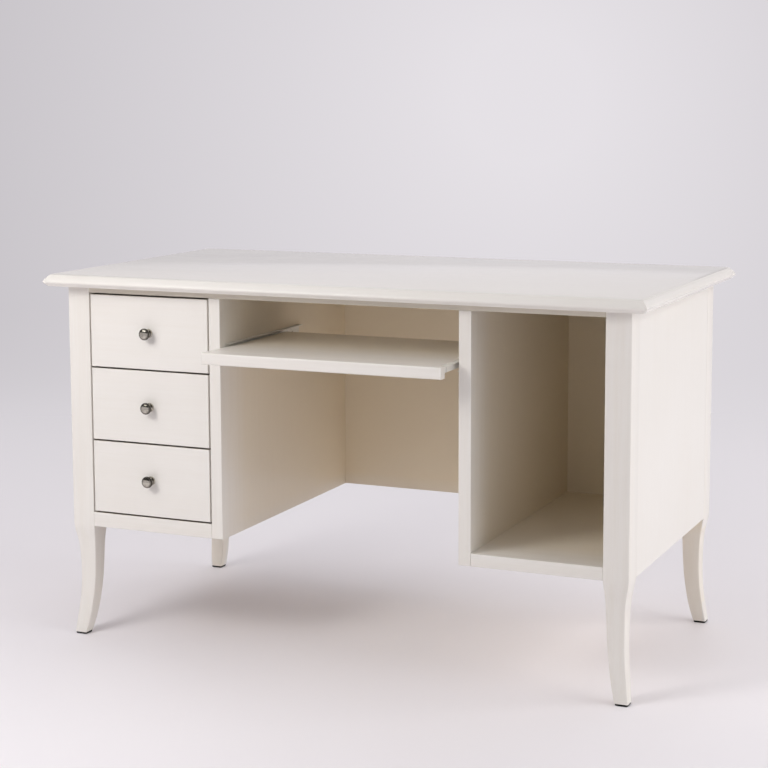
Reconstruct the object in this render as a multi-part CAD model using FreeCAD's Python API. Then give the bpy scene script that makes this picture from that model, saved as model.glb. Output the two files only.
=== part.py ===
import FreeCAD, Part
import os

# Computer desk: a painted wooden desk with three drawers on the left, a pull-out keyboard
# tray over the knee space and an open bay for a tower computer on the right.
# Millimetres, +X to the right, +Y to the back, +Z up, with the floor at z = 0. The origin
# is on the floor in the middle of the desk's box, with the tray drawn out as it stands.

# Whole desk
desk_height = 760.0
frame_width = 1196.0
frame_depth = 610.0
panel_foot = 234.0
board_thick = 18.0
arris = 1.5

# Desktop and its moulded edge
top_thick = 25.0
top_overhang = 37.0
edge_run = 15.5
edge_drop = 14.0
edge_crown = 2.0
nose_thick = 4.0
nose_round = 1.2
edge_tuck = 8.0

# Posts and sabre legs, with shares of the sweep's height, hollow and taper from the top down
post = 50.0
sweep_top = 240.0
leg_hollow = 9.5
leg_taper = 25.0
hollow_shares = ((1, 0), (0.8, 0.72), (0.56, 1), (0.31, 0.77), (0.15, 0.32), (0, -0.16))
taper_shares = ((1, 0), (0.8, 0.13), (0.63, 0.19), (0.47, 0.275), (0.31, 0.43), (0.15, 0.66), (0, 1))
hollow_lean_share = 0.14
taper_lean_share = 0.28

# Floor glides
glide_thick = 4.0
glide_margin = 0.5

# Rails, dividers and bays
rail_height = 13.0
rail_depth = 40.0
divider_thick = 25.0
drawer_bay = 278.0
tower_bay = 260.0
bottom_rail_height = 30.0
pedestal_floor_thick = 12.0
pedestal_floor_rise = 6.0
shelf_thick = 25.0
back_inset = 4.0
panel_groove = 1.0

# Wood joints
tongue_share = 1 / 3
tongue_long = 8.0
box_tongue = 4.0
tenon_shoulder = 5.0
joint_room = 0.15

# Drawers, hung on wooden runners in the grooves of their sides
drawer_names = ("top_drawer", "middle_drawer", "bottom_drawer")
drawer_gap = 3.2
drawer_front_thick = 18.0
drawer_side_thick = 12.0
drawer_side_rise = 16.0
drawer_side_drop = 28.0
drawer_side_room = 1.5
drawer_length = 462.0
drawer_bottom_thick = 4.0
drawer_bottom_rise = 8.0
runner_height = 14.0
runner_bite = 6.0
runner_room = 0.3
runner_setback = 1.0
batten_height = 40.0

# Knobs, with shares of the ball's radius and thickness from the neck outward
knob_rose_radius = 9.5
knob_rose_thick = 4.0
knob_neck_radius = 5.5
knob_neck_long = 6.0
knob_ball_radius = 12.0
knob_ball_thick = 11.0
knob_ball_shares = ((0.72, 0), (1, 0.36), (1, 0.6), (0.62, 1), (0, 1))

# Keyboard tray: tray_pull is how far it stands out at rest, tray_drop is from the rail to its top
tray_pull = 83.5
tray_drop = 97.0
tray_thick = 15.0
tray_depth = 350.0
tray_gap = 2.5
lip_height = 23.0
lip_depth = 20.0
lip_round = 3.0

# Tray rails: sheet-steel sections with one roller on each rail
rail_gap = 12.5
rail_sheet = 1.2
rail_under = 12.0
rail_setback = 1.0
channel_drop = 7.2
channel_rise = 20.0
channel_reach = 10.0
ride_height = 14.0
ride_clear = 1.2
roller_radius = 8.0
roller_width = 7.2
roller_inset = 12.0
roller_room = 0.3
roller_bore_room = 0.05
roller_side_room = 0.4
axle_radius = 2.5

# Cutting and comparing
overrun = 1.0
seam = 0.01

# Places that follow from the sizes
half_width = frame_width / 2
top_under = desk_height - top_thick
box_front = max(tray_pull, top_overhang)
box_depth = box_front + frame_depth + top_overhang
front_y = box_front - box_depth / 2
rear_y = front_y + frame_depth
back_y = rear_y - back_inset - board_thick
foot_outer = leg_hollow * hollow_shares[-1][1]
post_in_front = front_y + post
post_in_rear = rear_y - post
drawer_left = -half_width + post
drawer_right = drawer_left + drawer_bay
knee_left = drawer_right + divider_thick
tower_right = half_width - post
tower_left = tower_right - tower_bay
knee_right = tower_left - divider_thick
panel_left = -half_width + board_thick
panel_right = half_width - board_thick
rail_low = top_under - rail_height
drawers_low = panel_foot + bottom_rail_height
drawer_count = len(drawer_names)
drawer_front_height = (rail_low - drawers_low - drawer_gap) / drawer_count - drawer_gap
drawer_side_height = drawer_front_height - drawer_side_rise - drawer_side_drop
drawer_inside = front_y + drawer_front_thick
drawer_rear = drawer_inside + drawer_length
tray_top = rail_low - tray_drop
tray_low = tray_top - tray_thick
tray_front = front_y - tray_pull
tray_board_front = tray_front + lip_depth
tray_board_rear = tray_front + tray_depth
tray_rail_front = front_y + lip_depth + rail_setback
tray_rail_rear = front_y + tray_depth


def at(x, y, z):
    """A point or a direction."""
    return FreeCAD.Vector(x, y, z)


def block(low, high):
    """A block between its lowest and its highest corner."""
    return Part.makeBox(high[0] - low[0], high[1] - low[1], high[2] - low[2], at(*low))


def rod(radius, start, end):
    """A round rod from one point to another."""
    run = end - start
    return Part.makeCylinder(radius, run.Length, start, run)


def joined(first, *others):
    """One solid from touching pieces, with the seams between flush faces taken out."""
    return first.multiFuse(list(others)).removeSplitter()


def edges_at(shape, axis, place):
    """The edges that lie in the plane square to an axis at a place."""
    found = []
    for edge in shape.Edges:
        low = getattr(edge.BoundBox, axis + "Min")
        high = getattr(edge.BoundBox, axis + "Max")
        if abs(low - place) < seam and abs(high - place) < seam:
            found.append(edge)
    return found


def eased(shape, axis, place, radius):
    """The shape with the edges of one of its flat faces rounded."""
    return shape.makeFillet(radius, edges_at(shape, axis, place))


def mirrored(shape):
    """The same piece on the other side of the desk's middle."""
    return shape.mirror(at(0, 0, 0), at(1, 0, 0))


def tongues(low, high, run, thick, reach, room=0, shoulder=0):
    """Both end tongues of a board, centred in its thickness; room makes them grooves."""
    waste = (high[thick] - low[thick]) * (1 - tongue_share) / 2
    third = 3 - run - thick
    near = [0, 0, 0]
    far = [0, 0, 0]
    near[thick] = low[thick] + waste - room
    far[thick] = high[thick] - waste + room
    near[third] = low[third] + shoulder - room
    far[third] = high[third] - shoulder + room
    made = []
    for start, end in ((low[run] - reach - room, low[run]), (high[run], high[run] + reach + room)):
        near[run] = start
        far[run] = end
        made.append(block(near, far))
    return made


def tenons(low, high, room=0):
    """Both end tenons of a rail, with a shoulder all round; room makes them mortises."""
    return tongues(low, high, 0, 2, tongue_long, room, tenon_shoulder)


def cut_all(shape, cutters):
    """The shape with each cutter taken out of it."""
    for cutter in cutters:
        shape = shape.cut(cutter)
    return shape


# Boards, each by its lowest and highest corner
front_rail_box = (drawer_left, front_y, rail_low), (tower_right, front_y + rail_depth, top_under)
rear_rail_box = (drawer_left, post_in_rear, rail_low), (tower_right, back_y, top_under)
bottom_rail_box = (drawer_left, front_y, panel_foot), (drawer_right, front_y + board_thick, drawers_low)
left_panel_box = (-half_width, post_in_front, panel_foot), (panel_left, post_in_rear, top_under)
right_panel_box = (panel_right, post_in_front, panel_foot), (half_width, post_in_rear, top_under)
drawer_back_box = (drawer_left, back_y, panel_foot), (drawer_right, back_y + board_thick, top_under)
modesty_box = (knee_left, back_y, panel_foot), (knee_right, back_y + board_thick, top_under)
tower_back_box = (tower_left, back_y, panel_foot), (tower_right, back_y + board_thick, top_under)
floor_low = panel_foot + pedestal_floor_rise
floor_high = floor_low + pedestal_floor_thick
floor_tongue_box = (panel_left, post_in_front, floor_low), (drawer_right, post_in_rear, floor_high)
shelf_high = panel_foot + shelf_thick
shelf_tongue_box = (tower_left, post_in_front, panel_foot), (panel_right, post_in_rear, shelf_high)


def floor_tongues(room=0):
    """The tongues of the two level boards, in the side panels and dividers; room makes grooves."""
    made = tongues(*floor_tongue_box, 0, 2, tongue_long, room, tenon_shoulder)
    return made + tongues(*shelf_tongue_box, 0, 2, tongue_long, room, tenon_shoulder)


def frame_grooves():
    """Every mortise and groove that the boards' tongues need in the posts and dividers."""
    cutters = floor_tongues(joint_room)
    for low, high in (left_panel_box, right_panel_box):
        cutters += tongues(low, high, 1, 0, tongue_long, joint_room)
    for low, high in (drawer_back_box, modesty_box, tower_back_box):
        cutters += tongues(low, high, 0, 1, tongue_long, joint_room)
    for low, high in (front_rail_box, rear_rail_box, bottom_rail_box):
        cutters += tenons(low, high, joint_room)
    return cutters


def moulded_prism(width, length, point, sweep):
    """The desktop seen along one side: a crowned slope, a small nose and a tucked-in underside."""
    nose_high = desk_height - edge_drop
    nose_low = nose_high - nose_thick
    nose_middle = nose_high - nose_thick / 2
    crown_in = (edge_run + nose_round - edge_crown) / 2
    crown_high = desk_height - (edge_drop - edge_crown) / 2

    def near_edge(inset, z):
        return point(inset, z)

    def far_edge(inset, z):
        return point(width - inset, z)

    edges = []
    for edge in (near_edge, far_edge):
        tuck = edge(edge_tuck, top_under)
        lower = edge(nose_round, nose_low)
        upper = edge(nose_round, nose_high)
        nose = Part.Arc(lower, edge(0, nose_middle), upper)
        slope = Part.Arc(upper, edge(crown_in, crown_high), edge(edge_run, desk_height))
        edges += [Part.makeLine(tuck, lower), nose.toShape(), slope.toShape()]
    for inset, z in ((edge_run, desk_height), (edge_tuck, top_under)):
        edges.append(Part.makeLine(near_edge(inset, z), far_edge(inset, z)))
    outline = Part.Wire(Part.__sortEdges__(edges))
    return Part.Face(outline).extrude(sweep * length)


def desktop():
    """The top: one edge moulding on all four sides, mitred where the sides meet."""
    width = frame_width + 2 * top_overhang
    depth = frame_depth + 2 * top_overhang
    left = -width / 2
    near = front_y - top_overhang
    across = moulded_prism(depth, width, lambda v, z: at(left, near + v, z), at(1, 0, 0))
    along = moulded_prism(width, depth, lambda u, z: at(left + u, near, z), at(0, 1, 0))
    return across.common(along)


def tenoned_rail(low, high):
    """A rail between two uprights, eased in front and tenoned at both ends."""
    return joined(eased(block(low, high), "Y", low[1], arris), *tenons(low, high))


def sabre_prism(point, sweep):
    """A post seen square to a face: straight above, hollowed outside and thinned inside below,
    with the foot swept out past the post."""
    rise = sweep_top - glide_thick
    outer = [point(leg_hollow * deep, glide_thick + rise * high) for high, deep in hollow_shares]
    inner = [point(post - leg_taper * deep, glide_thick + rise * high) for high, deep in taper_shares]
    outer_curve = Part.BSplineCurve()
    outer_curve.interpolate(Points=outer, InitialTangent=point(0, -1),
                            FinalTangent=point(-hollow_lean_share, -1))
    inner_curve = Part.BSplineCurve()
    inner_curve.interpolate(Points=inner, InitialTangent=point(0, -1),
                            FinalTangent=point(-taper_lean_share, -1))
    edges = [
        Part.makeLine(point(0, top_under), outer[0]),
        outer_curve.toShape(),
        Part.makeLine(outer[-1], inner[-1]),
        inner_curve.toShape(),
        Part.makeLine(inner[0], point(post, top_under)),
        Part.makeLine(point(post, top_under), point(0, top_under)),
    ]
    face = Part.Face(Part.Wire(Part.__sortEdges__(edges)))
    face.translate(sweep * foot_outer)
    return face.extrude(sweep * (post - foot_outer))


def foot_middle():
    """How far the middle of a foot lies from the two outer faces of its post."""
    return (foot_outer + post - leg_taper) / 2


def leg(side, end):
    """One post with its sabre leg; side is -1 left or 1 right, end is -1 front or 1 rear."""
    across = sabre_prism(lambda u, z: at(u, 0, z), at(0, 1, 0))
    along = sabre_prism(lambda v, z: at(0, v, z), at(1, 0, 0))
    shape = across.common(along)
    shape.translate(at(-half_width, front_y, 0))
    if side > 0:
        shape = mirrored(shape)
    if end > 0:
        shape = shape.mirror(at(0, front_y + frame_depth / 2, 0), at(0, 1, 0))
    return cut_all(shape, frame_grooves())


def glide_place(side, end):
    """The middle of a foot on the floor."""
    inset = foot_middle()
    y = front_y + inset if end < 0 else rear_y - inset
    return at(side * (half_width - inset), y, 0)


def foot_glide(side, end):
    """A square pad under a foot."""
    place = glide_place(side, end)
    half = (post - leg_taper - foot_outer) / 2 - glide_margin
    return block(place - at(half, half, 0), place + at(half, half, glide_thick))


def side_panel(low, high):
    """A flush side panel tongued into both posts, with a fine groove where it meets the rear one."""
    panel = joined(block(low, high), *tongues(low, high, 1, 0, tongue_long))
    outer = low[0] if low[0] < 0 else high[0]
    rear = high[1]
    corner = [at(outer, rear, 0), at(outer, rear - panel_groove, 0), at(outer, rear, 0)]
    corner[2] = corner[0] + at(panel_groove if low[0] < 0 else -panel_groove, 0, 0)
    groove = Part.Face(Part.makePolygon(corner + corner[:1])).extrude(at(0, 0, top_under))
    return cut_all(panel, [groove] + floor_tongues(joint_room))


def divider(left):
    """An upright board between two bays, notched round both top rails and eased in front."""
    low = (left, front_y, panel_foot)
    high = (left + divider_thick, back_y + board_thick, top_under)
    board = cut_all(block(low, high), [block(*front_rail_box), block(*rear_rail_box)])
    return cut_all(eased(board, "Y", front_y, arris), frame_grooves())


def pedestal_floor():
    """The dust panel that closes the drawer bay from below, notched round the two posts."""
    board = block((panel_left, front_y + board_thick, floor_low), (drawer_right, back_y, floor_high))
    front_notch = block((-half_width, front_y, 0), (drawer_left, post_in_front, top_under))
    rear_notch = block((-half_width, post_in_rear, 0), (drawer_left, rear_y, top_under))
    board = cut_all(board, [front_notch, rear_notch])
    return joined(board, *tongues(*floor_tongue_box, 0, 2, tongue_long, 0, tenon_shoulder))


def back_board(low, high):
    """A board across the back of a bay, tongued into the uprights on both sides."""
    return joined(block(low, high), *tongues(low, high, 0, 1, tongue_long))


def tower_shelf():
    """The thick shelf that carries a tower computer, notched round the posts."""
    board = block((tower_left, front_y, panel_foot), (panel_right, back_y, shelf_high))
    front_notch = block((tower_right, front_y, 0), (half_width, post_in_front, top_under))
    rear_notch = block((tower_right, post_in_rear, 0), (half_width, rear_y, top_under))
    board = eased(cut_all(board, [front_notch, rear_notch]), "Y", front_y, arris)
    return joined(board, *tongues(*shelf_tongue_box, 0, 2, tongue_long, 0, tenon_shoulder))


def section_bar(points, y0, y1):
    """A rolled sheet section, given as points in x and z, run from y0 to y1."""
    outline = [at(x, y0, z) for x, z in points]
    return Part.Face(Part.makePolygon(outline + outline[:1])).extrude(at(0, y1 - y0, 0))


def cabinet_rail(wall, inward):
    """A C-section rail on a divider, with the axle of its front roller; inward is +1 or -1 along x."""
    low = tray_low - channel_drop
    high = tray_low + channel_rise
    face = wall + inward * rail_sheet
    reach = wall + inward * channel_reach
    channel = section_bar([
        (wall, low), (reach, low), (reach, low + rail_sheet), (face, low + rail_sheet),
        (face, high - rail_sheet), (reach, high - rail_sheet), (reach, high), (wall, high),
    ], tray_rail_front, tray_rail_rear)
    return joined(channel, roller_axle(front_roller_place(wall, inward), face, inward))


def sliding_rail(wall, inward):
    """The tray's moving rail: a web beside it, a flange under it, a riding flange and a rear axle."""
    web_out = wall + inward * (rail_gap - rail_sheet)
    web_in = wall + inward * rail_gap
    under = wall + inward * (rail_gap + rail_under)
    ride = wall + inward * (rail_sheet + ride_clear)
    low = tray_low - rail_sheet
    high = tray_low + ride_height
    section = section_bar([
        (web_out, low), (under, low), (under, tray_low), (web_in, tray_low),
        (web_in, high), (ride, high), (ride, high - rail_sheet), (web_out, high - rail_sheet),
    ], tray_board_front, tray_board_rear)
    return joined(section, roller_axle(rear_roller_place(wall, inward), web_out, -inward))


def front_roller_place(wall, inward):
    """The middle of the roller on the fixed rail, just under the riding flange."""
    x = wall + inward * (rail_sheet + roller_side_room + roller_width / 2)
    z = tray_low + ride_height - rail_sheet - roller_room - roller_radius
    return at(x, tray_rail_front + roller_inset, z)


def rear_roller_place(wall, inward):
    """The middle of the roller on the moving rail, just over the fixed rail's lower flange."""
    x = wall + inward * (rail_gap - rail_sheet - roller_side_room - roller_width / 2)
    z = tray_low - channel_drop + rail_sheet + roller_room + roller_radius
    return at(x, tray_board_rear - roller_inset, z)


def roller_axle(place, web, outward):
    """A stub axle from a web through a roller; outward is the way it points along x."""
    root = at(web, place.y, place.z)
    tip = at(place.x + outward * (roller_width / 2 + roller_side_room), place.y, place.z)
    return rod(axle_radius, root, tip)


def roller(place):
    """A nylon roller on its axle: a plain wheel with a running bore."""
    half = at(roller_width / 2, 0, 0)
    past = half + at(overrun, 0, 0)
    wheel = rod(roller_radius, place - half, place + half)
    return wheel.cut(rod(axle_radius + roller_bore_room, place - past, place + past))


def tray():
    """The keyboard tray: a board with a deeper rounded lip in front, on two pairs of roller rails."""
    board_low = (knee_left + rail_gap, tray_board_front, tray_low)
    board_high = (knee_right - rail_gap, tray_board_rear, tray_top)
    lip_low = (knee_left + tray_gap, tray_front, tray_top - lip_height)
    lip_high = (knee_right - tray_gap, tray_board_front, tray_top)
    tongue = tongues(board_low, board_high, 1, 2, box_tongue)[0]
    groove = tongues(board_low, board_high, 1, 2, box_tongue, joint_room)[0]
    walls = ((knee_left, 1), (knee_right, -1))

    export("tray_board", joined(block(board_low, board_high), tongue))
    export("tray_lip", eased(block(lip_low, lip_high), "Y", tray_front, lip_round).cut(groove))
    export("tray_cabinet_rails", [cabinet_rail(*wall) for wall in walls])
    export("tray_sliding_rails", [sliding_rail(*wall) for wall in walls])
    export("tray_front_rollers", [roller(front_roller_place(*wall)) for wall in walls])
    export("tray_rear_rollers", [roller(rear_roller_place(*wall)) for wall in walls])


def knob(place):
    """A turned knob: a rose on the drawer, a neck and a flattened ball; it points to -Y."""
    neck_end = knob_rose_thick + knob_neck_long
    profile = [(0, 0), (knob_rose_radius, 0), (knob_rose_radius, knob_rose_thick)]
    profile += [(knob_neck_radius, knob_rose_thick), (knob_neck_radius, neck_end)]
    for radius_share, thick_share in knob_ball_shares:
        profile.append((knob_ball_radius * radius_share, neck_end + knob_ball_thick * thick_share))
    outline = [place + at(radius, -out, 0) for radius, out in profile]
    return Part.Face(Part.makePolygon(outline + outline[:1])).revolve(place, at(0, 1, 0), 360)


def drawer_low(index):
    """The height of the lower edge of a drawer front, counted from the top drawer down."""
    below = drawer_count - 1 - index
    return drawers_low + drawer_gap + below * (drawer_front_height + drawer_gap)


def runner_middle(index):
    """The height of a drawer's runners: half-way up its sides."""
    return drawer_low(index) + drawer_side_rise + drawer_side_height / 2


def drawer_runners(index, room=0):
    """The two wooden runners of a drawer, on post and divider; room makes the grooves for them."""
    middle = runner_middle(index)
    reach = drawer_side_room + runner_bite + room
    start = drawer_inside + runner_setback - room
    made = []
    for wall, face in ((drawer_left, drawer_left + reach), (drawer_right - reach, drawer_right)):
        low = (wall, start, middle - runner_height / 2 - room)
        made.append(block(low, (face, drawer_rear + room, middle + runner_height / 2 + room)))
    return made


def runner_batten(index):
    """A spacer that brings a left runner out from the side panel to the post's inner face."""
    middle = runner_middle(index)
    low = (panel_left, post_in_front, middle - batten_height / 2)
    return block(low, (drawer_left, post_in_rear, middle + batten_height / 2))


def drawer(name, index):
    """One drawer: an inset front, two grooved sides, a back, a sheet bottom and a knob."""
    low = drawer_low(index)
    base = low + drawer_side_rise
    top = base + drawer_side_height
    left = drawer_left + drawer_side_room
    right = drawer_right - drawer_side_room
    inner_left = left + drawer_side_thick
    inner_right = right - drawer_side_thick
    sheet_low = base + drawer_bottom_rise
    sheet_high = sheet_low + drawer_bottom_thick
    tongue_front = drawer_inside - box_tongue

    front_low = (drawer_left + drawer_gap, front_y, low)
    front_high = (drawer_right - drawer_gap, drawer_inside, low + drawer_front_height)
    front = eased(block(front_low, front_high), "Y", front_y, arris)
    knob_place = at((drawer_left + drawer_right) / 2, front_y, low + drawer_front_height / 2)

    room = at(joint_room, joint_room, joint_room)
    side_boxes = []
    for x in (left, inner_right):
        side_boxes.append((at(x, tongue_front, base), at(x + drawer_side_thick, drawer_rear, top)))
    for side_low, side_high in side_boxes:
        front = front.cut(block(side_low - room, side_high + room))
    sheet_box = (at(inner_left - box_tongue, tongue_front, sheet_low),
                 at(inner_right + box_tongue, drawer_rear, sheet_high))
    sheet_groove = block(sheet_box[0] - room, sheet_box[1] + room)
    back_low = (inner_left, drawer_rear - drawer_side_thick, sheet_high)
    back_high = (inner_right, drawer_rear, top)
    back_tongues = tongues(back_low, back_high, 0, 1, box_tongue)
    back_grooves = tongues(back_low, back_high, 0, 1, box_tongue, joint_room)
    side_cuts = [sheet_groove] + back_grooves + drawer_runners(index, runner_room)

    export(name + "_front", front.cut(sheet_groove))
    export(name + "_sides", [cut_all(block(*box), side_cuts) for box in side_boxes])
    export(name + "_back", joined(block(back_low, back_high), *back_tongues))
    export(name + "_bottom", block(*sheet_box))
    export(name + "_knob", knob(knob_place))


def export(name, shape):
    """Write one piece, or a group of like pieces, under its own name."""
    solids = shape if isinstance(shape, list) else [shape]
    Part.makeCompound(solids).exportStep(os.path.join("parts", name + ".step"))


os.makedirs("parts", exist_ok=True)
corners = {"front_left": (-1, -1), "front_right": (1, -1), "rear_left": (-1, 1), "rear_right": (1, 1)}
drawer_order = range(drawer_count)
export("desktop", desktop())
export("front_top_rail", tenoned_rail(*front_rail_box))
export("rear_top_rail", tenoned_rail(*rear_rail_box))
for corner_name, corner in corners.items():
    export(corner_name + "_leg", leg(*corner))
export("foot_glides", [foot_glide(*corner) for corner in corners.values()])
export("left_side_panel", side_panel(*left_panel_box))
export("right_side_panel", side_panel(*right_panel_box))
export("drawer_divider", divider(drawer_right))
export("tower_divider", divider(knee_right))
export("pedestal_bottom_rail", tenoned_rail(*bottom_rail_box))
export("pedestal_floor", pedestal_floor())
export("drawer_bay_back", back_board(*drawer_back_box))
export("modesty_panel", back_board(*modesty_box))
export("tower_bay_back", back_board(*tower_back_box))
export("tower_shelf", tower_shelf())
export("runner_battens", [runner_batten(index) for index in drawer_order])
export("drawer_runners", [runner for index in drawer_order for runner in drawer_runners(index)])
for drawer_index, drawer_name in enumerate(drawer_names):
    drawer(drawer_name, drawer_index)
tray()
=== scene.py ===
import math
import bmesh
import bpy
import numpy as np
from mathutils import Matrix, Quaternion, Vector


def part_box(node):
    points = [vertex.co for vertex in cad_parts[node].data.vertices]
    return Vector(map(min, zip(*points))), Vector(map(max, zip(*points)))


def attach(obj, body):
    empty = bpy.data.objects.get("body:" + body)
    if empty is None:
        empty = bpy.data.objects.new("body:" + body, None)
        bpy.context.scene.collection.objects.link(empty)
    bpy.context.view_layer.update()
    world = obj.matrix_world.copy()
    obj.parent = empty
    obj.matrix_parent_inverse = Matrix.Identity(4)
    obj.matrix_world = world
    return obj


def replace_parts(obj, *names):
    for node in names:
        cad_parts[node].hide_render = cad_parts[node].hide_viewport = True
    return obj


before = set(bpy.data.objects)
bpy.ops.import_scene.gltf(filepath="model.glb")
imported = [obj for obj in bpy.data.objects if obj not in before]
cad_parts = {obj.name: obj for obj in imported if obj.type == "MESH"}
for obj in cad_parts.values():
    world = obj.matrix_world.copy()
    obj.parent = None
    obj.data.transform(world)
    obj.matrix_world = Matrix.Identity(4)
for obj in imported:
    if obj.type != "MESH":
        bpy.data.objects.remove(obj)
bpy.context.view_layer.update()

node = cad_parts

# Corner posts: four square posts of beech, sawn at the lower end to a sabre leg that is hollow on
# the outer faces and thinned on the inner ones. Their arrises are eased, and each carries the
# mortises and grooves of the rails, panels and backs that meet it under the lacquer.
post_arris = 0.0025
opening_arris = 0.0015
closed_joint = 0.0003
open_joint = 0.0015
shadow_gap = 0.0008
arris_steps = 5
arris_run_out = 0.020
panel_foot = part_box("left_side_panel")[0].z
leg_top = 0.240
leg_hollow = 0.0095
leg_taper = 0.025
hollow_shares = ((0, -0.16), (0.15, 0.32), (0.31, 0.77), (0.56, 1), (0.8, 0.72), (1, 0))
taper_shares = ((0, 1), (0.15, 0.66), (0.31, 0.43), (0.47, 0.275), (0.63, 0.19), (0.8, 0.13), (1, 0))
hollow_lean = 0.14
taper_lean = 0.28
leg_rows = 72
ivory = (0.865, 0.838, 0.795, 1)
ivory_deep = (0.80, 0.753, 0.685, 1)
# Painted shade: the warm, darker tone that stands in for the shade deep inside the carcass.
inner_shade_tone = (0.86, 0.745, 0.555, 1)
# Painted shade: a dark brown that stands in for the shade in the drawer gaps.
gap_shade_brown = (0.30, 0.215, 0.135, 1)
film_depth = 0.0002


def smooth_curve(points, first_slope, last_slope, at):
    """A curve through points (knot, value): a cubic between neighbours, whose slope at each point is
    that of the parabola through it and its neighbours. The slopes at both ends are given."""
    knots, values = np.array(points, float).T
    slopes = np.gradient(values, knots)
    slopes[0], slopes[-1] = first_slope, last_slope
    i = np.clip(np.searchsorted(knots, at) - 1, 0, len(knots) - 2)
    step = knots[i + 1] - knots[i]
    t = (at - knots[i]) / step
    start = values[i] * (1 + 2 * t) * (1 - t) ** 2 + step * slopes[i] * t * (1 - t) ** 2
    return start + values[i + 1] * t * t * (3 - 2 * t) - step * slopes[i + 1] * t * t * (1 - t)


def lofted(name, *shells, sharp=40, loop=False):
    """Closed skins over rings of points, each an array of (rings, points, 3): quads between
    neighbouring rings, and one flat face over the first and the last, or quads between these two
    where the rings come round in a loop. Edges over the sharp angle stay crisp."""
    faces = []
    start = 0
    for rings in shells:
        rows, columns = rings.shape[:2]
        index = start + np.arange(rows * columns).reshape(rows, columns)
        ahead = np.roll(index, -1, axis=1)
        corners = [index, ahead, np.roll(ahead, -1, axis=0), np.roll(index, -1, axis=0)]
        quads = np.stack(corners, axis=-1)
        if not loop:
            quads = quads[:-1]
            faces += [index[0].tolist(), index[-1].tolist()]
        faces += quads.reshape(-1, 4).tolist()
        start += rows * columns
    return skin(name, np.concatenate([rings.reshape(-1, 3) for rings in shells]), faces, sharp)


def skin(name, points, faces, sharp):
    """An object at the origin from points and faces, with its faces turned outwards."""
    mesh = bpy.data.meshes.new(name)
    mesh.from_pydata(points.tolist(), [], faces)
    shell = bmesh.new()
    shell.from_mesh(mesh)
    bmesh.ops.recalc_face_normals(shell, faces=shell.faces)
    shell.to_mesh(mesh)
    shell.free()
    mesh.shade_smooth()
    mesh.set_sharp_from_angle(angle=math.radians(sharp))
    made = bpy.data.objects.new(name, mesh)
    bpy.context.scene.collection.objects.link(made)
    return made


def eased_square(low, high, radius):
    """Rings of a square section with round corners, one for each pair of its low and high faces:
    quarter circles about the four corner centres, joined by straight sides. The radius is an array
    of (rings, corners), with the corners in turn from high-high round to high-low."""
    turn = np.linspace(0, math.pi / 2, arris_steps)
    angle = (np.arange(4)[:, None] * math.pi / 2 + turn).ravel()
    right = np.repeat([1, 0, 0, 1], arris_steps)
    upper = np.repeat([1, 1, 0, 0], arris_steps)
    round_by = np.repeat(radius, arris_steps, axis=1)
    near, far = low[:, None] + round_by, high[:, None] - round_by
    u = np.where(right, far, near) + round_by * np.cos(angle)
    v = np.where(upper, far, near) + round_by * np.sin(angle)
    return u, v


def add(tree, kind, **sockets):
    """A shader node whose named input sockets get a value or a link; _0 names a socket by number."""
    made = tree.nodes.new("ShaderNode" + kind)
    for socket, value in sockets.items():
        plug = made.inputs[int(socket[1:]) if socket[1:].isdigit() else socket.replace("_", " ")]
        if isinstance(value, bpy.types.NodeSocket):
            tree.links.new(value, plug)
        else:
            plug.default_value = value
    return made


def effect(name, inputs, outputs):
    """An empty shader node group with named inputs (kind, default) and outputs (kind)."""
    tree = bpy.data.node_groups.new(name, "ShaderNodeTree")
    for socket, (kind, default) in inputs.items():
        made = tree.interface.new_socket(socket, in_out="INPUT", socket_type="NodeSocket" + kind)
        made.default_value = default
    for socket, kind in outputs.items():
        tree.interface.new_socket(socket, in_out="OUTPUT", socket_type="NodeSocket" + kind)
    return tree, tree.nodes.new("NodeGroupInput").outputs, tree.nodes.new("NodeGroupOutput").inputs


def spread(tree, value, low, high, to_low=0.0, to_high=1.0):
    """The value moved from one range to another, and held inside it."""
    return add(tree, "MapRange", Value=value, From_Min=low, From_Max=high,
               To_Min=to_low, To_Max=to_high).outputs["Result"]


def worked_out(tree, operation, *values):
    """One step of arithmetic on values or links."""
    made = add(tree, "Math", **{"_" + str(i): value for i, value in enumerate(values)})
    made.operation = operation
    return made.outputs[0]


def sum_of(tree, first, second, share):
    """The first value plus a share of the second."""
    return worked_out(tree, "MULTIPLY_ADD", second, share, first)


def product_of(tree, first, *others):
    """Several values multiplied together."""
    for value in others:
        first = worked_out(tree, "MULTIPLY", first, value)
    return first


def blend_of(tree, share, first, second):
    """Two colours mixed by a share."""
    made = tree.nodes.new("ShaderNodeMix")
    made.data_type = "RGBA"
    for socket, value in ((made.inputs[0], share), (made.inputs[6], first), (made.inputs[7], second)):
        if isinstance(value, bpy.types.NodeSocket):
            tree.links.new(value, socket)
        else:
            socket.default_value = value
    return made.outputs[2]


def noise_of(tree, place, scale, detail=2.0, roughness=0.5):
    """Smooth noise over a place, with a number of lumps to the metre."""
    made = add(tree, "TexNoise", Vector=place, Scale=scale, Detail=detail, Roughness=roughness)
    return made.outputs[0]


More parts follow.
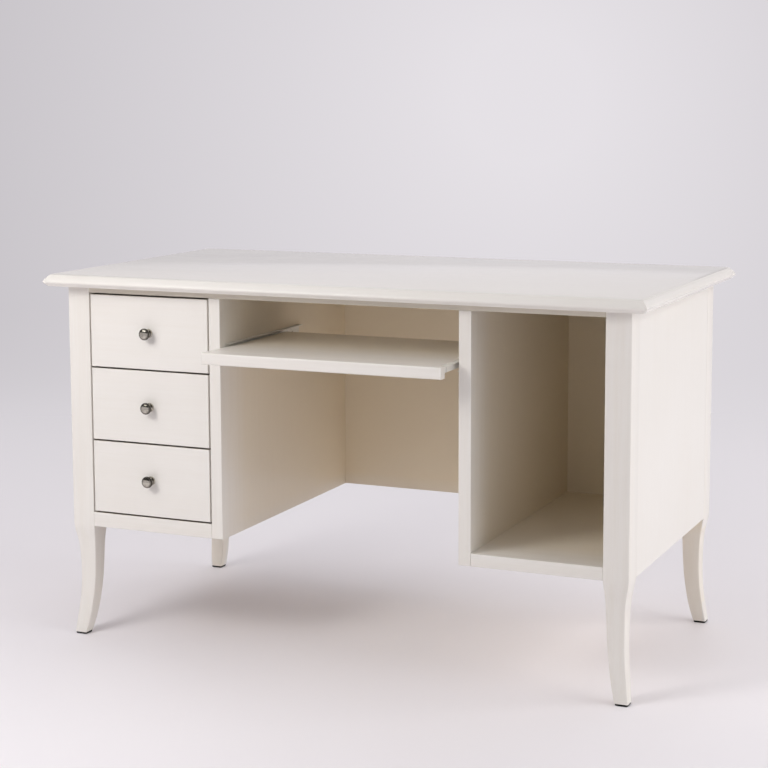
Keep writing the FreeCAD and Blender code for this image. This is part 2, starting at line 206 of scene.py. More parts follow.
def shelter_effect():
    """How much painted shade a point takes. A warm inner shade: nothing on the front edges, the outer
    sides and the rear faces, and more the further back it is between them. A dark brown shade behind
    the drawer fronts' faces, to darken the drawer gaps, apart from the fronts' upright edges."""
    near_start, near_end, deep_start = 0.003, 0.110, 0.060
    outer_film, painted_edge, painted_rail = 0.004, 0.0005, 0.002
    gap_shade_start, gap_shade_end = 0.0015, 0.0025
    foot_below, foot_above, foot_share = 0.04, 0.03, 0.25
    bay_low, bay_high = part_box("bottom_drawer_front")
    back_low, back_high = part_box("modesty_panel")
    front, side = bay_low.y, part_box("right_side_panel")[1].x
    tree, given, out = effect("inner_shade", {"Place": ("Vector", (0, 0, 0))},
                              {"Inside": "Float", "Gap Shade": "Float"})
    x, y, z = add(tree, "SeparateXYZ", Vector=given["Place"]).outputs
    # The inner share: painted shade, warmer and darker the deeper a point lies in the carcass.
    near = spread(tree, y, front + near_start, front + near_end, to_high=0.5)
    deep = spread(tree, y, front + deep_start, back_low.y, to_high=0.5)
    across = worked_out(tree, "LESS_THAN", worked_out(tree, "ABSOLUTE", x), side - outer_film)
    ahead = worked_out(tree, "LESS_THAN", y, (back_low.y + back_high.y) / 2)
    over = spread(tree, z, panel_foot - foot_below, panel_foot + foot_above, to_low=foot_share)
    depth = worked_out(tree, "ADD", near, deep)
    tree.links.new(product_of(tree, depth, across, ahead, over), out["Inside"])
    # The gap share: dark brown painted shade over the drawer bay's insides and the fronts' top and bottom
    # edges, to darken the drawer gaps.
    past_left = worked_out(tree, "GREATER_THAN", x, bay_low.x + painted_edge)
    past_right = worked_out(tree, "LESS_THAN", x, bay_high.x - painted_edge)
    above = worked_out(tree, "GREATER_THAN", z, panel_foot + painted_rail)
    behind = spread(tree, y, front + gap_shade_start, front + gap_shade_end)
    tree.links.new(product_of(tree, past_left, past_right, above, behind, ahead), out["Gap Shade"])
    return tree


def lacquer_effect():
    """Brushed lacquer over wood: soft clouds of tone, grain that shows faintly as long streaks, a warm
    painted shade inside the carcass, a dark brown painted shade in the drawer gaps, a film that is a
    little uneven in gloss, and a height of brush marks and fine orange peel."""
    least_shade = 0.1
    tree, given, out = effect(
        "lacquer film",
        {"Place": ("Vector", (0, 0, 0)), "Grain": ("Vector", (1, 1, 1)), "Gloss": ("Float", 0.3),
         "Figure": ("Float", 1), "Tone": ("Color", ivory), "Deep Tone": ("Color", ivory_deep),
         "Inside": ("Float", 0), "Inner Shade Tone": ("Color", inner_shade_tone),
         "Gap Shade": ("Float", 0), "Gap Shade Tone": ("Color", gap_shade_brown)},
        {"Color": "Color", "Roughness": "Float", "Height": "Float"})
    along = add(tree, "Mapping", Vector=given["Place"], Scale=given["Grain"]).outputs[0]
    streak = spread(tree, noise_of(tree, along, scale=7, detail=5, roughness=0.62), low=0.36, high=0.7)
    hair = spread(tree, noise_of(tree, along, scale=34, detail=3, roughness=0.6), low=0.3, high=0.75)
    cloud = spread(tree, noise_of(tree, given["Place"], scale=3.4, detail=3), low=0.3, high=0.7)
    peel = noise_of(tree, given["Place"], scale=520, detail=1)
    marks = noise_of(tree, along, scale=60)
    figure = product_of(tree, sum_of(tree, streak, hair, share=0.6), given["Figure"])
    shade = sum_of(tree, sum_of(tree, least_shade, cloud, share=0.22), figure, share=0.34)
    tone = blend_of(tree, shade, given["Tone"], given["Deep Tone"])
    # Painted shade: the warm inner tone deep in the carcass, then the dark brown of the drawer gaps.
    tone = blend_of(tree, given["Inside"], tone, given["Inner Shade Tone"])
    tree.links.new(blend_of(tree, given["Gap Shade"], tone, given["Gap Shade Tone"]), out["Color"])
    rough = sum_of(tree, sum_of(tree, given["Gloss"], cloud, share=0.08), given["Inside"], share=0.12)
    tree.links.new(sum_of(tree, rough, hair, share=0.05), out["Roughness"])
    tree.links.new(sum_of(tree, sum_of(tree, 0.0, peel, share=0.35), marks, share=0.6), out["Height"])
    return tree


inner_shade = shelter_effect()
lacquer_film = lacquer_effect()
upright_grain = (14, 14, 0.5)
level_grain = (0.5, 14, 14)


def finish(name, surface, **shader):
    """A material on Object coordinates: surface gives its links by socket name and the sockets of its
    bump, and what is the same all over is set on the shader's sockets."""
    made = bpy.data.materials.new(name)
    made.use_nodes = True
    tree = made.node_tree
    principled = tree.nodes["Principled BSDF"]
    place = tree.nodes.new("ShaderNodeTexCoord").outputs["Object"]
    for socket, value in shader.items():
        principled.inputs[socket.replace("_", " ")].default_value = value
    links, relief = surface(tree, place)
    links["Normal"] = add(tree, "Bump", **relief).outputs[0]
    for socket, value in links.items():
        tree.links.new(value, principled.inputs[socket])
    return made


def placed(tree, group, place):
    """A shared effect set in a material, over a place."""
    made = add(tree, "Group")
    made.node_tree = group
    tree.links.new(place, made.inputs["Place"])
    return made


def lacquer(name, grain, tones=(ivory, ivory_deep), gloss=0.3, film_marks=0.25, figure=1.0,
            inner_shaded=True):
    """Ivory lacquer with its grain along one way of the piece, and, unless turned off, painted shade:
    warm inside the carcass, dark brown in the drawer gaps.
    """
    def surface(tree, place):
        film = placed(tree, lacquer_film, place)
        film.inputs["Grain"].default_value = grain
        film.inputs["Tone"].default_value, film.inputs["Deep Tone"].default_value = tones
        film.inputs["Gloss"].default_value = gloss
        film.inputs["Figure"].default_value = figure
        # Painted shade: warm and darker inside the carcass, dark brown in the drawer gaps.
        if inner_shaded:
            inside = placed(tree, inner_shade, place)
            for share in ("Inside", "Gap Shade"):
                tree.links.new(inside.outputs[share], film.inputs[share])
        links = {"Base Color": film.outputs["Color"], "Roughness": film.outputs["Roughness"]}
        relief = {"Height": film.outputs["Height"], "Distance": film_depth, "Strength": film_marks}
        return links, relief
    return finish(name, surface, Coat_Weight=0.25, Coat_Roughness=0.12)


upright_lacquer = lacquer("ivory lacquer, upright grain", upright_grain)


def dress(name, material):
    """A carried-over piece takes one finish in place of its packed one."""
    slots = node[name].data.materials
    slots.clear()
    slots.append(material)


def post_leg(corner):
    """One post: at each height the section is a square from the hollow of the outer faces to the
    taper of the inner ones, with round arrises that die away where a panel or rail meets the post.
    The rear posts leave a hair of shadow beside the side panels."""
    low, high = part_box(corner + "_leg")
    foot = low.z
    rise = leg_top - foot
    z = np.concatenate([foot + rise * np.linspace(0, 1, leg_rows), [high.z]])
    share = np.clip((z - foot) / rise, 0, 1)
    outer = leg_hollow * smooth_curve(hollow_shares, hollow_lean * rise / leg_hollow, 0, share)
    taper = leg_taper * smooth_curve(taper_shares, -taper_lean * rise / leg_taper, 0, share)
    flare = -outer.min()
    post = high.x - low.x - flare
    joint = closed_joint if "front" in corner else open_joint
    joined = np.array([closed_joint, joint, post_arris, opening_arris])
    bare = np.clip((panel_foot - z) / arris_run_out, 0, 1)[:, None]
    u, v = eased_square(outer, post - taper, joined + (post_arris - joined) * bare)
    if "rear" in corner:
        v = np.minimum(v, (post - taper)[:, None] - shadow_gap * (1 - bare))
    x = low.x + flare + u if "left" in corner else high.x - flare - u
    y = low.y + flare + v if "front" in corner else high.y - flare - v
    return lofted(corner + "_post", np.stack([x, y, np.broadcast_to(z[:, None], x.shape)], axis=-1))


for corner in ("front_left", "front_right", "rear_left", "rear_right"):
    made = post_leg(corner)
    made.data.materials.append(upright_lacquer)
    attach(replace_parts(made, corner + "_leg"), "desk")

# Glides: a black moulded pad pinned under each foot, square like the foot, with round corners and
# both rims eased, so that the desk can be pushed over a floor.
glide_black = (0.005, 0.005, 0.005, 1)
glide_scuff = (0.018, 0.0175, 0.017, 1)
glide_corner = 0.004
glide_ease = 0.0008
scuff_to_grit = 14
foot_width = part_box("front_left_leg")[1].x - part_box("front_left_leg")[0].x - leg_taper


def moulded_surface(tone, scuffed, grit, rough):
    """Moulded plastic or a powder coat: a fine grit and a few rubbed patches."""
    def surface(tree, place):
        grain = noise_of(tree, place, grit)
        patches = noise_of(tree, place, grit / scuff_to_grit, detail=4, roughness=0.7)
        scuff = spread(tree, patches, low=0.58, high=0.75)
        links = {"Base Color": blend_of(tree, scuff, tone, scuffed)}
        links["Roughness"] = sum_of(tree, rough, scuff, share=0.2)
        relief = {"Height": sum_of(tree, grain, scuff, share=-0.5), "Distance": 0.0002, "Strength": 0.3}
        return links, relief
    return surface


def glide_pad(side, end):
    """One pad in a corner of the glides' box: four square rings with round corners, the first and
    the last drawn in by the ease of the rims."""
    low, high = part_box("foot_glides")
    margin = low.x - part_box("front_left_leg")[0].x
    wide = foot_width - 2 * margin
    z = np.array([low.z, low.z + glide_ease, high.z - glide_ease, high.z])
    inset = np.array([glide_ease, 0, 0, glide_ease])
    u, v = eased_square(inset, wide - inset, (glide_corner - inset)[:, None] * np.ones(4))
    x = low.x + u if side < 0 else high.x - u
    y = low.y + v if end < 0 else high.y - v
    return np.stack([x, y, np.broadcast_to(z[:, None], x.shape)], axis=-1)


glide_surface = moulded_surface(glide_black, glide_scuff, grit=900, rough=0.55)
glide_plastic = finish("black moulded plastic", glide_surface, Specular_IOR_Level=0.25)
made = lofted("floor_glides", *(glide_pad(side, end) for side in (-1, 1) for end in (-1, 1)))
made.data.materials.append(glide_plastic)
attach(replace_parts(made, "foot_glides"), "desk")

# Carcass boards: side panels, dividers, backs, shelf and rails of lacquered board, tongued and
# tenoned together. Uprights and backs have their grain upright, and rails and shelf along the desk.
# The top rails, under the overhang of the top, take a darker, warmer tone: painted shade for the
# overhang's shadow.
overhang_shade = (0.73, 0.675, 0.575, 1)
overhang_shade_deep = (0.66, 0.60, 0.50, 1)
level_lacquer = lacquer("ivory lacquer, level grain", level_grain)
overhang_shade_lacquer = lacquer("ivory lacquer, overhang shade", level_grain, (overhang_shade, overhang_shade_deep))
board_lacquer = lacquer("ivory lacquer, upright boards", upright_grain, figure=0.4)
# The carcass boards carry the painted shade of their lacquer inside the carcass and in the drawer gaps.
for name in ("drawer_divider", "tower_divider"):
    dress(name, upright_lacquer)
for name in ("left_side_panel", "right_side_panel", "drawer_bay_back", "modesty_panel", "tower_bay_back"):
    dress(name, board_lacquer)
# Painted shade of the overhang on the top rails.
for name in ("front_top_rail", "rear_top_rail"):
    dress(name, overhang_shade_lacquer)
for name in ("pedestal_bottom_rail", "pedestal_floor", "tower_shelf"):
    dress(name, level_lacquer)

# Desktop: one thick board with a moulding worked on all four edges, a swelling slope that rolls over
# into a small nose and tucks back underneath, mitred at the corners. It lies on the posts and rails,
# screwed from below, and is polished to a higher gloss.
edge_profile = ((0.0155, 0), (0.0108, 0.0021), (0.0060, 0.0066), (0.0018, 0.0118), (0, 0.0156),
                (0.0009, 0.0180), (0.0035, 0.0205), (0.0080, 0.0250))
edge_leaves, edge_arrives = (-0.97, 0.24), (0.7, 0.7)
edge_rows = 40
mitre_ease = 0.0009
mitre_segments = 2
mitre_angle = 50
polished_lacquer = lacquer("ivory lacquer, polished top", level_grain, gloss=0.12, film_marks=0.05,
                           figure=0.5, inner_shaded=False)


def along_chords(points, first, last, rows):
    """A smooth curve through points of a flat outline, by the length of the chords between them: both
    of its measures at evenly spaced lengths, leaving and arriving in the given directions."""
    points = np.array(points, float)
    knots = np.append(0, np.cumsum(np.hypot(*np.diff(points, axis=0).T)))
    at = np.linspace(0, knots[-1], rows)
    return [smooth_curve(np.stack([knots, side], axis=-1), first[i], last[i], at)[:, None]
            for i, side in enumerate(points.T)]


def moulded_top():
    """The desktop: each point of the moulding's profile, an inset and a drop, makes a rectangle drawn
    in by that inset, so the corners come out mitred."""
    low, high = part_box("desktop")
    inset, drop = along_chords(edge_profile, edge_leaves, edge_arrives, edge_rows)
    inset = np.clip(inset, 0, None)
    left, right, near, far = low.x + inset, high.x - inset, low.y + inset, high.y - inset
    x = np.concatenate([left, right, right, left], axis=1)
    y = np.concatenate([near, near, far, far], axis=1)
    return lofted("desktop_board", np.stack([x, y, np.broadcast_to(high.z - drop, x.shape)], axis=-1))


made = moulded_top()
made.data.materials.append(polished_lacquer)
ease = made.modifiers.new("eased mitres", "BEVEL")
ease.width = mitre_ease
ease.segments = mitre_segments
ease.limit_method = "ANGLE"
ease.angle_limit = math.radians(mitre_angle)
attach(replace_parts(made, "desktop"), "desk")

# Drawer runners: clear-sealed softwood bars glued and screwed to post and divider, with spacers
# behind the left ones. The drawer boxes are of the same wood, with hardboard bottoms in grooves
# and inset fronts of lacquered board.
pine = (0.58, 0.39, 0.21, 1)
pine_dark = (0.40, 0.23, 0.10, 1)
board_tan = (0.46, 0.36, 0.24, 1)
board_fleck = (0.32, 0.23, 0.14, 1)
board_rough = 0.45
grain_to_back, grain_across = (9, 0.35, 9), (0.35, 9, 9)


def timber_effect():
    """Sealed softwood: growth rings cut lengthwise, as bands across the board that wander with a slow
    noise along it, with fine pores as short streaks."""
    least_shade, seal_rough, mid_height = 0.05, 0.42, 0.5
    tree, given, out = effect(
        "sealed softwood",
        {"Place": ("Vector", (0, 0, 0)), "Grain": ("Vector", (1, 1, 1)), "Early Wood": ("Color", pine),
         "Late Wood": ("Color", pine_dark)},
        {"Color": "Color", "Roughness": "Float", "Height": "Float"})
    along = add(tree, "Mapping", Vector=given["Place"], Scale=given["Grain"]).outputs[0]
    rings = add(tree, "TexWave", Vector=along, Scale=9, Distortion=7, Detail=3, Detail_Scale=1.4)
    rings.wave_profile = "SAW"
    band = spread(tree, rings.outputs["Fac"], low=0.45, high=1)
    pores = spread(tree, noise_of(tree, along, scale=60, detail=4, roughness=0.65), low=0.5, high=0.72)
    shade = sum_of(tree, sum_of(tree, least_shade, band, share=0.42), pores, share=0.3)
    rough = sum_of(tree, sum_of(tree, seal_rough, band, share=-0.06), pores, share=0.15)
    height = sum_of(tree, sum_of(tree, mid_height, pores, share=-0.6), band, share=0.25)
    tree.links.new(blend_of(tree, shade, given["Early Wood"], given["Late Wood"]), out["Color"])
    tree.links.new(rough, out["Roughness"])
    tree.links.new(height, out["Height"])
    return tree


softwood = timber_effect()


def timber(name, grain):
    """Softwood with its grain along one way of the piece."""
    def surface(tree, place):
        wood = placed(tree, softwood, place)
        wood.inputs["Grain"].default_value = grain
        links = {"Base Color": wood.outputs["Color"], "Roughness": wood.outputs["Roughness"]}
        return links, {"Height": wood.outputs["Height"], "Distance": 0.0003, "Strength": 0.4}
    return finish(name, surface)


def hardboard_surface(tree, place):
    """Pressed fibre board: a fine felt of dark flecks on tan, smooth on its face."""
    fleck = spread(tree, noise_of(tree, place, scale=380, detail=4, roughness=0.7), low=0.45, high=0.7)
    cloud = noise_of(tree, place, scale=12)
    links = {"Base Color": blend_of(tree, fleck, board_tan, board_fleck)}
    links["Roughness"] = sum_of(tree, board_rough, cloud, share=0.15)
    return links, {"Height": fleck, "Distance": 0.0002, "Strength": 0.2}


deep_pine = timber("softwood, grain to the back", grain_to_back)
cross_pine = timber("softwood, grain across", grain_across)
hardboard = finish("hardboard", hardboard_surface)
# The drawer fronts take the dark brown painted gap shade on their top and bottom edges.
front_lacquer = lacquer("ivory lacquer, drawer fronts", level_grain, gloss=0.26, figure=0.6)
for name in ("runner_battens", "drawer_runners"):
    dress(name, deep_pine)
drawers = ("top_drawer", "middle_drawer", "bottom_drawer")
for drawer in drawers:
    dress(drawer + "_sides", deep_pine)
    dress(drawer + "_back", cross_pine)
    dress(drawer + "_bottom", hardboard)
    dress(drawer + "_front", front_lacquer)

# Knobs: turned brass, nickel plated and polished, with a rose against the drawer, a waisted neck
# and a thick round head with a shallow dome inside its rim. The plate is tarnished in the neck, where
# hands and cloth wear it least, and a dark ring round the rim of the head is a painted reflection.
# Each is held by a pan-head screw from inside the front.
nickel = (0.54, 0.51, 0.445, 1)
nickel_dull = (0.36, 0.335, 0.285, 1)
# Tarnish in the knob's neck, and a painted dark reflection round the rim of its head.
nickel_tarnish_and_reflection = (0.085, 0.077, 0.066, 1)
knob_columns = 72
knob_rows = 90
knob_leaves, knob_arrives = (0, 1), (-1, 0)
knob_profile = ((0.79, 0), (0.79, 0.11), (0.74, 0.16), (0.56, 0.19), (0.46, 0.25), (0.43, 0.36),
                (0.46, 0.47), (0.58, 0.55), (0.80, 0.60), (0.95, 0.66), (1, 0.75), (0.975, 0.85),
                (0.90, 0.91), (0.82, 0.915), (0.76, 0.925), (0.55, 0.965), (0.28, 0.993), (0.02, 1))
tarnish_and_reflection_places = (0.15, 0.25, 0.50, 0.62, 0.90, 0.955)
tarnish_and_reflection_shares = (0, 0.35, 0.35, 1, 1, 0)
screw_columns = 32
screw_head = 0.0040
screw_dome = 0.0024
screw_profile = ((1, 0), (0.98, 0.45), (0.80, 0.85), (0.52, 1.0))
recess_profile = ((0.50, 0.95), (0.30, 0.30), (0.02, 0.25))
recess_lobes = 0.6


def spun(seat, out, profile, columns, lobes=0):
    """Rings of a turned piece: each point of the profile, a radius and a distance from the seat, goes
    round the axis that points out. Lobes draw the rings in to the arms of a cross recess."""
    axis = Vector(out)
    side = np.array(axis.orthogonal().normalized())
    other = np.cross(np.array(axis), side)
    radius, away = (np.array(measure).reshape(-1, 1) for measure in profile)
    angle = np.linspace(0, 2 * math.pi, columns, endpoint=False)
    reach = (radius * (1 - lobes * (1 - np.cos(4 * angle)) / 2))[..., None]
    turn = np.cos(angle)[:, None] * side + np.sin(angle)[:, None] * other
    return np.array(seat) + away[..., None] * np.array(axis) + reach * turn


def plated_surface(tone, dull, rough, tarnish_and_reflection_tone=None):
    """Plated metal: bright, with a faint haze of handling and hair scratches, and darkened where the
    piece's own attribute says: tarnish, and on the knobs' rims a painted dark reflection."""
    def surface(tree, place):
        haze = spread(tree, noise_of(tree, place, scale=160, detail=3), low=0.4, high=0.75)
        hair = add(tree, "Mapping", Vector=place, Scale=(1, 1, 22)).outputs[0]
        scratch = spread(tree, noise_of(tree, hair, scale=420), low=0.62, high=0.78)
        colour = blend_of(tree, haze, tone, dull)
        # Darkening by the piece's attribute: tarnish in the neck and a painted dark reflection on the
        # rim.
        if tarnish_and_reflection_tone:
            tarnish_and_reflection = tree.nodes.new("ShaderNodeAttribute")
            tarnish_and_reflection.attribute_name = "tarnish_and_reflection"
            colour = blend_of(tree, tarnish_and_reflection.outputs["Fac"], colour, tarnish_and_reflection_tone)
        links = {"Base Color": colour}
        links["Roughness"] = sum_of(tree, sum_of(tree, rough, haze, share=0.08), scratch, share=0.1)
        return links, {"Height": scratch, "Distance": 0.00005, "Strength": 0.1}
    return surface


def pan_head(seat, out, head, dome):
    """A pan-head screw: a low dome with a cross recess in its top."""
    outside = np.array(screw_profile) * (head, dome)
    recess = np.array(recess_profile) * (head, dome)
    rings = [spun(seat, out, outside.T, screw_columns),
             spun(seat, out, recess.T, screw_columns, recess_lobes)]
    return np.concatenate(rings)


nickel_surface = plated_surface(nickel, nickel_dull, rough=0.08, tarnish_and_reflection_tone=nickel_tarnish_and_reflection)
nickel_plate = finish("polished nickel plate", nickel_surface, Metallic=1.0)
for drawer in drawers:
    low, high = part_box(drawer + "_knob")
    seat = Vector(((low.x + high.x) / 2, high.y, (low.z + high.z) / 2))
    share_radius, share_out = along_chords(knob_profile, knob_leaves, knob_arrives, knob_rows)
    outline = share_radius * (high.x - low.x) / 2, share_out * (high.y - low.y)
    rings = spun(seat, (0, -1, 0), outline, knob_columns)
    made = lofted(drawer + "_turned_knob", rings, sharp=50)
    # The attribute's shares: tarnish in the neck, and a painted dark reflection over the rim of the head.
    tarnish_and_reflection = np.repeat(np.interp(share_out.ravel(), tarnish_and_reflection_places, tarnish_and_reflection_shares), knob_columns)
    made.data.attributes.new("tarnish_and_reflection", "FLOAT", "POINT").data.foreach_set("value", tarnish_and_reflection)
    made.data.materials.append(nickel_plate)
    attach(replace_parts(made, drawer + "_knob"), drawer)
    inside = Vector((seat.x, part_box(drawer + "_front")[1].y, seat.z))
    made = lofted(drawer + "_knob_screw", pan_head(inside, (0, 1, 0), screw_head, screw_dome))
    made.data.materials.append(nickel_plate)
    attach(made, drawer)

# Keyboard tray: a lacquered board with a deeper lip along its front edge, rounded in front, which
# hides the ends of the rails when the tray is pushed in.
tray_lacquer = lacquer("ivory lacquer, keyboard tray", level_grain)
dress("tray_board", tray_lacquer)
dress("tray_lip", tray_lacquer)

# Tray rails: rolled steel sections with a cream powder coat, the fixed pair screwed to the dividers
# and the moving pair to the tray, each with a nylon roller on a stub axle.
coat_cream = (0.80, 0.78, 0.72, 1)
coat_worn = (0.55, 0.54, 0.51, 1)
nylon_white = (0.80, 0.79, 0.74, 1)
nylon_grey = (0.60, 0.58, 0.53, 1)
rail_coat = finish("cream powder coat", moulded_surface(coat_cream, coat_worn, grit=700, rough=0.4))
nylon = finish("white nylon", moulded_surface(nylon_white, nylon_grey, grit=1200, rough=0.35))
for name in ("tray_cabinet_rails", "tray_sliding_rails"):
    dress(name, rail_coat)

# Rollers: turned nylon wheels, one on each rail, with a hub that keeps them off the rail, a dished
# face and a flat tread with eased rims. They turn on the stub axles as the tray runs in and out.
roller_wide = 0.0072
roller_bore = 0.00255
roller_columns = 48
roller_face = ((0.0046, 0), (0.0050, 0.0007), (0.0064, 0.0007), (0.0068, 0), (0.0076, 0),
               (0.0080, 0.0004))


def roller_pair(name):
    """Two wheels at the ends of the pair's box: a face from the bore to the tread and the same face
    turned about, joined into one loop and spun round the axle."""
    low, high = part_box(name)
    face = np.array(((roller_bore, 0),) + roller_face)
    other = face[::-1] * (1, -1) + (0, roller_wide)
    profile = np.concatenate([face, other]).T
    middle = (low + high) / 2
    places = [(x, middle.y, middle.z) for x in (low.x, high.x - roller_wide)]
    shells = [spun(place, (1, 0, 0), profile, roller_columns) for place in places]
    return lofted(name.replace("rollers", "roller_wheels"), *shells, sharp=30, loop=True)


for name in ("tray_front_rollers", "tray_rear_rollers"):
    made = roller_pair(name)
    made.data.materials.append(nylon)
    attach(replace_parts(made, name), name)

# Screws: zinc-plated pan heads that hold the fixed rails to the dividers, the moving rails to the
# tray from below, and the top rails to the desktop. Those inside the fixed rails are flat and low.
zinc = (0.60, 0.61, 0.63, 1)
zinc_dull = (0.42, 0.43, 0.44, 1)
rail_sheet = 0.0012
rail_screw_head = 0.0030
rail_screw_dome = 0.0009
flange_half = 0.006
rail_screw_shares = (0.22, 0.55, 0.90)
tray_screw_shares = (0.12, 0.50, 0.88)
knee_screw_shares = (0.2, 0.8)
bay_screw_shares = (0.5,)
zinc_plate = finish("zinc plate", plated_surface(zinc, zinc_dull, rough=0.22), Metallic=1.0)


def between(low, high, shares):
    """Places between two others, at shares of the way."""
    return [low + (high - low) * share for share in shares]


def screw_set(name, body, screws):
    """Like screws joined as one piece on a body."""
    made = lofted(name, *screws)
    made.data.materials.append(zinc_plate)
    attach(made, body)


low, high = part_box("tray_cabinet_rails")
webs = ((low.x + rail_sheet, (1, 0, 0)), (high.x - rail_sheet, (-1, 0, 0)))
screw_set("fixed_rail_screws", "desk", [
    pan_head((x, y, (low.z + high.z) / 2), out, rail_screw_head, rail_screw_dome)
    for x, out in webs for y in between(low.y, high.y, rail_screw_shares)])
low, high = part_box("tray_sliding_rails")
board_low, board_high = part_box("tray_board")
screw_set("tray_screws", "keyboard_tray", [
    pan_head((x, y, low.z), (0, 0, -1), screw_head, screw_dome)
    for x in (board_low.x + flange_half, board_high.x - flange_half)
    for y in between(low.y, high.y, tray_screw_shares)])
knee_left, knee_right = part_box("drawer_divider")[1].x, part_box("tower_divider")[0].x
bay_left, bay_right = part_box("tower_divider")[1].x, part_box("front_right_leg")[0].x
screw_places = between(knee_left, knee_right, knee_screw_shares)
screw_places += between(bay_left, bay_right, bay_screw_shares)
rails = [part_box(name) for name in ("front_top_rail", "rear_top_rail")]
screw_set("top_screws", "desk", [
    pan_head((x, (low.y + high.y) / 2, low.z), (0, 0, -1), screw_head, screw_dome)
    for low, high in rails for x in screw_places])

# Studio: a pale paper floor that sweeps up into a backdrop square to the camera. A soft key light comes
# from the upper left, with fills from the right, the left and behind. Polished pieces mirror only two
# dimmer lamps, under a ceiling that is pale at the horizon and dark above.
floor_pale = (0.905, 0.875, 0.9, 1)
floor_mottle = (0.885, 0.855, 0.88, 1)
floor_far = (0.74, 0.71, 0.745, 1)
floor_rough = 0.5
wall_dim = (0.58, 0.555, 0.585, 1)
# A painted pool of light on the backdrop: the wall is brightest behind the desk.
wall_painted_light = (0.785, 0.755, 0.79, 1)
sky_low = (0.32, 0.314, 0.327, 1)
sky_high = (0.60, 0.592, 0.615, 1)
ceiling_dark = (0.035, 0.033, 0.03, 1)
paper_near = -40.0
paper_far = 3.2
paper_bend = 1.6
paper_high = 5.0
paper_half = 40.0
bend_rows = 24
floor_fade = (0.3, 2.6)
round_fade = (1.8, 3.2)
wall_fade = (1.0, 4.0)
glow_across = 0.65
glow_height = 1.1
glow_fade = (0.3, 2.6)
sky_fade = (0, 0.9)
ceiling_fade = (0.05, 0.16)
camera_yaw = 23.726
yaw = math.radians(camera_yaw)


def studio_sweep():
    """Floor, quarter-round bend and wall as one strip: a profile of depth and height carried sideways,
    turned about the upright axis to face the camera."""
    turn = np.linspace(0, math.pi / 2, bend_rows)
    wall = paper_far + paper_bend
    depth = np.concatenate([[paper_near], paper_far + paper_bend * np.sin(turn), [wall]])
    height = np.concatenate([[0], paper_bend * (1 - np.cos(turn)), [paper_high]])
    across = np.array([-paper_half, paper_half])
    x = across * math.cos(yaw) - depth[:, None] * math.sin(yaw)
    y = across * math.sin(yaw) + depth[:, None] * math.cos(yaw)
    z = np.broadcast_to(height[:, None], x.shape)
    index = np.arange(len(depth) * 2).reshape(-1, 2)
    faces = np.stack([index[:-1, 0], index[:-1, 1], index[1:, 1], index[1:, 0]], axis=-1).tolist()
    return skin("studio_sweep", np.stack([x, y, z], axis=-1).reshape(-1, 3), faces, sharp=60)


def seen_rays(tree):
    """One for rays that show the background: straight to the camera, mirrored or through glass."""
    path = tree.nodes.new("ShaderNodeLightPath").outputs
    first = worked_out(tree, "MAXIMUM", path["Is Camera Ray"], path["Is Glossy Ray"])
    return worked_out(tree, "MAXIMUM", first, path["Is Transmission Ray"])


def sweep_surface(tree, place):
    """Matt paper with a very soft mottle, the same all over."""
    mottle = noise_of(tree, place, scale=1.5)
    links = {"Base Color": blend_of(tree, mottle, floor_pale, floor_mottle)}
    links["Roughness"] = sum_of(tree, floor_rough, mottle, share=0.05)
    return links, {"Height": mottle, "Distance": 0.0001, "Strength": 0.02}


def length_of(tree, first, second):
    """How far a point is from a corner, by its two measures: the root of the sum of their squares."""
    squares = sum_of(tree, product_of(tree, first, first), second, share=second)
    return worked_out(tree, "SQRT", squares)


def studio_paper():
    """The sweep's paper: plain on the floor, where it takes the shadows, and shown up the wall and far
    from the desk as a pale glow, with a painted pool of light brightest behind the desk."""
    made = finish("studio paper", sweep_surface)
    tree = made.node_tree
    place = tree.nodes.new("ShaderNodeTexCoord").outputs["Object"]
    turned = add(tree, "Mapping", Vector=place, Rotation=(0, 0, -yaw)).outputs[0]
    across, depth, height = add(tree, "SeparateXYZ", Vector=turned).outputs
    around = spread(tree, length_of(tree, across, depth), *round_fade)
    far = worked_out(tree, "MAXIMUM", spread(tree, depth, *floor_fade), around)
    # A painted pool of light on the wall, centred behind the desk.
    glow = length_of(tree, worked_out(tree, "SUBTRACT", across, glow_across),
                     worked_out(tree, "SUBTRACT", height, glow_height))
    wall = blend_of(tree, spread(tree, glow, *glow_fade), wall_painted_light, wall_dim)
    shown = add(tree, "Emission", Color=blend_of(tree, spread(tree, depth, *wall_fade), floor_far, wall))
    lit = tree.nodes["Principled BSDF"].outputs[0]
    share = product_of(tree, seen_rays(tree), far)
    mixed = add(tree, "MixShader", Fac=share, _1=lit, _2=shown.outputs[0])
    tree.links.new(mixed.outputs[0], tree.nodes["Material Output"].inputs["Surface"])
    return made


made = studio_sweep()
made.data.materials.append(studio_paper())


def soft_light(name, place, target, size, power, tint, mirrored):
    """A square soft box at a place, facing a target, which polished surfaces may mirror."""
    lamp = bpy.data.lights.new(name, "AREA")
    lamp.shape = "SQUARE"
    lamp.size = size
    lamp.energy = power
    lamp.color = tint
    made = bpy.data.objects.new(name, lamp)
    made.location = place
    made.rotation_mode = "QUATERNION"
    made.rotation_quaternion = (Vector(target) - Vector(place)).to_track_quat("-Z", "Y")
    made.visible_glossy = mirrored
    bpy.context.scene.collection.objects.link(made)


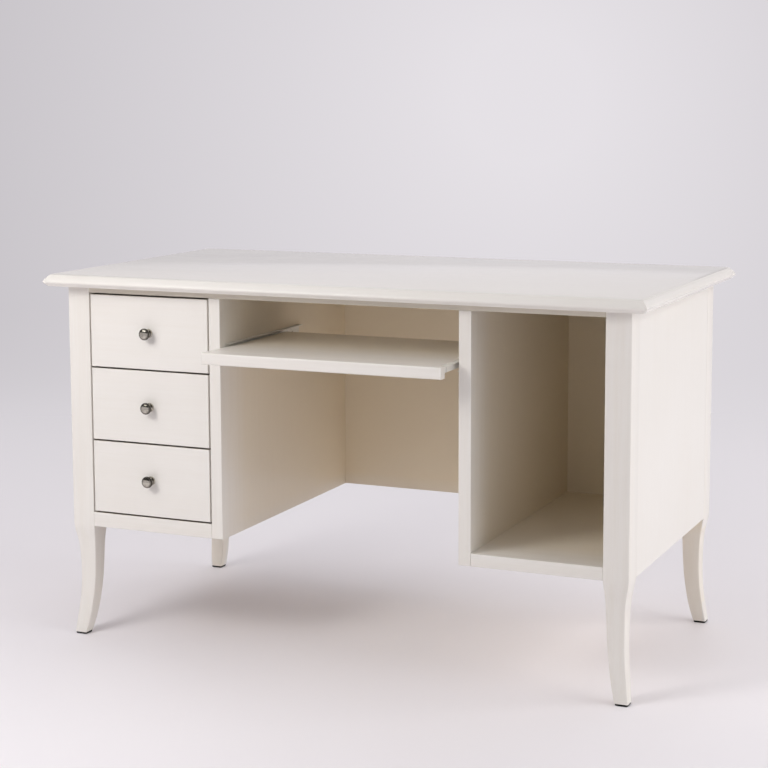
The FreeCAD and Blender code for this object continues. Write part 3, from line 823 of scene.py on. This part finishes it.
drawer_end, open_end, under_desk, whole_desk = (-0.3, 0, 0.4), (0.5, 0, 0.4), (0, 0.1, 0.1), (0, 0.2, 0.3)
key_white, fill_white, warm_white = (1, 0.985, 0.97), (1, 0.995, 0.98), (1, 0.97, 0.95)
for name, place, target, size, power, tint, mirrored in (
        ("key_light", (-0.9, -1.8, 1.65), drawer_end, 0.7, 11.5, key_white, False),
        ("key_gloss", (-1.11, -1.71, 1.73), drawer_end, 1.2, 10, key_white, True),
        ("right_fill", (4.2, 0.2, 1.95), open_end, 3.6, 75, fill_white, False),
        ("right_gloss", (4.1, 0.2, 1.91), open_end, 3.6, 22, fill_white, True),
        ("left_fill", (-4.0, 0.9, 0.7), under_desk, 1.0, 20, warm_white, False),
        ("back_fill", (0.3, 2.7, 2.2), whole_desk, 2.2, 14, key_white, False)):
    soft_light(name, place, target, size, power, tint, mirrored)
world = bpy.data.worlds.new("studio sky")
bpy.context.scene.world = world
world.use_nodes = True
tree = world.node_tree
way = tree.nodes.new("ShaderNodeTexCoord").outputs["Generated"]
rise = add(tree, "SeparateXYZ", Vector=way).outputs["Z"]
sky = blend_of(tree, spread(tree, rise, *sky_fade), sky_low, sky_high)
shown = blend_of(tree, spread(tree, rise, *ceiling_fade), floor_far, ceiling_dark)
tree.links.new(blend_of(tree, seen_rays(tree), sky, shown), tree.nodes["Background"].inputs["Color"])

# Camera: the viewing angle of the picture, a long lens a little above the desktop and to its right,
# with the frame shifted as in the picture. Its measures come from points of the desk in the picture.
camera_place = Vector((1.50535, -3.45505, 1.12906))
camera_pitch = 7.237
camera_roll = 0.179
camera_rise_pixels = -60
focal_pixels = 1836.57
picture_pixels = 768
sensor = 36.0
pitch = math.radians(camera_pitch)
level = math.cos(pitch)
forward = Vector((-math.sin(yaw) * level, math.cos(yaw) * level, -math.sin(pitch)))
facing = forward.to_track_quat("-Z", "Y")
lens = bpy.data.cameras.new("camera")
lens.sensor_width = sensor
lens.lens = focal_pixels * sensor / picture_pixels
lens.shift_y = camera_rise_pixels / picture_pixels
camera = bpy.data.objects.new("camera", lens)
camera.location = camera_place
camera.rotation_mode = "QUATERNION"
camera.rotation_quaternion = Quaternion(forward, math.radians(camera_roll)) @ facing
bpy.context.scene.collection.objects.link(camera)
bpy.context.scene.camera = camera
bpy.context.scene.view_settings.view_transform = "Standard"
